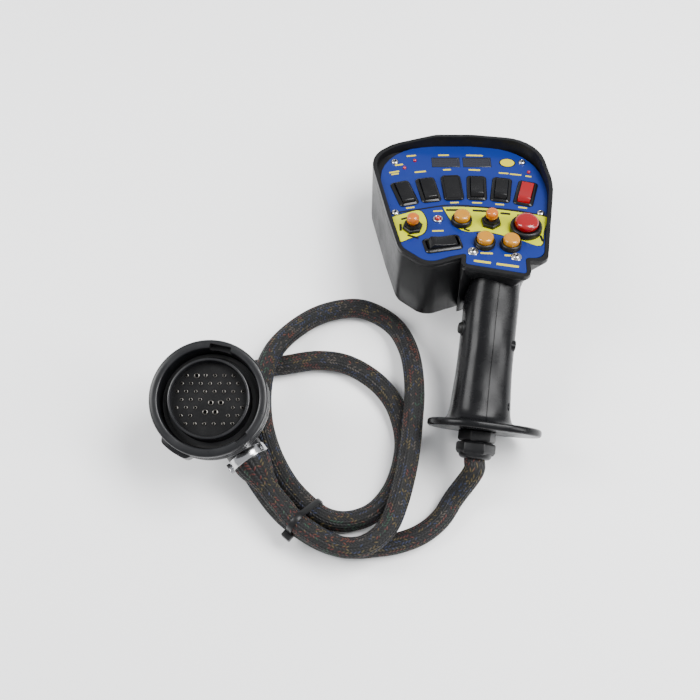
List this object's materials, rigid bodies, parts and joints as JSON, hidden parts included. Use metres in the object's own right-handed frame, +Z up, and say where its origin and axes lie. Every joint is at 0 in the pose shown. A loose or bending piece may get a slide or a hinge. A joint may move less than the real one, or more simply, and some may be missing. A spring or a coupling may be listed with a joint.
{
  "type": "handheld control pendant",
  "caption": "Pistol-grip control pendant with rocker, push-button and toggle switches, a coiled braided cable and a large round bayonet connector.",
  "frame": {"origin": "on the table, under the middle of the box round the pendant, without its cable and connector", "axes": "+Z up; the pendant lies on its back with its panel up and its grip towards -Y; +X is the right side of the panel"},
  "size_m": [0.3119, 0.3486, 0.1036],
  "materials": {
    "housing": "satin moulded black plastic",
    "panel": "satin blue paint with printed zones",
    "rubber": "dull black rubber",
    "steel": "plain bright steel",
    "board": "green lacquered board",
    "brass": "plain brass",
    "window": "dark clear plastic",
    "lamp_red": "clear red plastic",
    "chrome": "polished chrome",
    "switch_black": "smooth black plastic",
    "switch_red": "smooth red plastic",
    "cap_amber": "smooth amber plastic",
    "knob_orange": "smooth orange plastic",
    "grip": "fine textured black plastic",
    "nylon": "satin black nylon",
    "braid": "black braided sleeve with coloured tracer threads",
    "wire": "smooth wire sheath",
    "shell_metal": "black anodised",
    "insert": "hard dark rubber"
  },
  "bodies": {
    "pendant": {"housing": "housing", "face_plate": "panel", "plate_gasket": "rubber", "plate_screws": "steel", "circuit_board": "board", "board_spacers": "brass", "display_windows": "window", "display_modules": "switch_black", "indicator_leds": "lamp_red", "pilot_bezel": "chrome", "pilot_lens": "lamp_red", "rocker_frames": "switch_black", "blank_plug": "switch_black", "button_boots": "rubber", "button_spring_1": "steel", "button_spring_2": "steel", "button_spring_3": "steel", "stop_ring": "nylon", "stop_spring": "steel", "toggle_bodies": "nylon", "toggle_nuts": "nylon", "grip_left": "grip", "grip_right": "grip", "grip_screws": "steel", "finger_switch": "nylon", "wire_loom": "wire", "gland_body": "nylon", "gland_nut": "nylon", "gland_seal": "rubber", "gland_cap": "nylon", "cable": "braid", "cable_tie": "nylon", "sleeve_end": "rubber", "band_clamp": "steel", "backshell": "shell_metal", "connector_shell": "shell_metal", "connector_insert": "insert", "contacts": "brass", "shell_seal": "rubber"},
    "rocker_1": {"rocker_1": "switch_black"},
    "rocker_2": {"rocker_2": "switch_black"},
    "rocker_3": {"rocker_3": "switch_black"},
    "rocker_4": {"rocker_4": "switch_black"},
    "rocker_5": {"rocker_5": "switch_red"},
    "rocker_cross": {"rocker_cross": "switch_black"},
    "button_1": {"button_cap_1": "cap_amber"},
    "button_2": {"button_cap_2": "cap_amber"},
    "button_3": {"button_cap_3": "cap_amber"},
    "stop": {"stop_cap": "switch_red"},
    "toggle_1": {"toggle_lever_1": "knob_orange"},
    "toggle_2": {"toggle_lever_2": "knob_orange"},
    "trigger": {"finger_button": "rubber"},
    "ring": {"coupling_ring": "shell_metal"}
  },
  "joints": [
    {"name": "rocker_1_turn", "type": "hinge", "parent": "pendant", "child": "rocker_1", "pos_m": [-0.04846, 0.07368, 0.07104], "axis": [0.9613, 0.2621, -0.0852], "range_deg": [-16, 0]},
    {"name": "rocker_2_turn", "type": "hinge", "parent": "pendant", "child": "rocker_2", "pos_m": [-0.02908, 0.07787, 0.06968], "axis": [0.986, 0.1586, -0.0515], "range_deg": [-16, 0]},
    {"name": "rocker_3_turn", "type": "hinge", "parent": "pendant", "child": "rocker_3", "pos_m": [0.01054, 0.07997, 0.069], "axis": [0.9984, -0.0531, 0.0172], "range_deg": [-8, 8]},
    {"name": "rocker_4_turn", "type": "hinge", "parent": "pendant", "child": "rocker_4", "pos_m": [0.03028, 0.07787, 0.06968], "axis": [0.986, -0.1586, 0.0515], "range_deg": [-8, 8]},
    {"name": "rocker_5_turn", "type": "hinge", "parent": "pendant", "child": "rocker_5", "pos_m": [0.04966, 0.07368, 0.07104], "axis": [0.9613, -0.2621, 0.0852], "range_deg": [-8, 8]},
    {"name": "rocker_cross_turn", "type": "hinge", "parent": "pendant", "child": "rocker_cross", "pos_m": [-0.0211, 0.01794, 0.08915], "axis": [0.1994, -0.932, 0.3028], "range_deg": [0, 16]},
    {"name": "button_1_press", "type": "slide", "parent": "pendant", "child": "button_1", "axis": [0, -0.309, -0.9511], "range_m": [0, 0.0025], "stiffness_N_per_m": 600, "springref_m": -0.002, "deforming": ["button_spring_1"]},
    {"name": "button_2_press", "type": "slide", "parent": "pendant", "child": "button_2", "axis": [0, -0.309, -0.9511], "range_m": [0, 0.0025], "stiffness_N_per_m": 600, "springref_m": -0.002, "deforming": ["button_spring_2"]},
    {"name": "button_3_press", "type": "slide", "parent": "pendant", "child": "button_3", "axis": [0, -0.309, -0.9511], "range_m": [0, 0.0025], "stiffness_N_per_m": 600, "springref_m": -0.002, "deforming": ["button_spring_3"]},
    {"name": "stop_press", "type": "slide", "parent": "pendant", "child": "stop", "axis": [0, -0.309, -0.9511], "range_m": [0, 0.004], "stiffness_N_per_m": 800, "springref_m": -0.002, "deforming": ["stop_spring"]},
    {"name": "toggle_1_tip", "type": "hinge", "parent": "pendant", "child": "toggle_1", "pos_m": [-0.0436, 0.03708, 0.08819], "axis": [1, 0, 0], "range_deg": [-12, 12]},
    {"name": "toggle_2_tip", "type": "hinge", "parent": "pendant", "child": "toggle_2", "pos_m": [0.0184, 0.04231, 0.08649], "axis": [1, 0, 0], "range_deg": [-12, 12]},
    {"name": "trigger_press", "type": "slide", "parent": "pendant", "child": "trigger", "axis": [0.9867, -0.0893, -0.1355], "range_m": [0, 0.002], "stiffness_N_per_m": 500, "springref_m": -0.002},
    {"name": "ring_turn", "type": "hinge", "parent": "pendant", "child": "ring", "pos_m": [-0.1972, -0.1027, 0.083], "axis": [0, -0.1736, 0.9848], "range_deg": [-30, 60]}
  ]
}
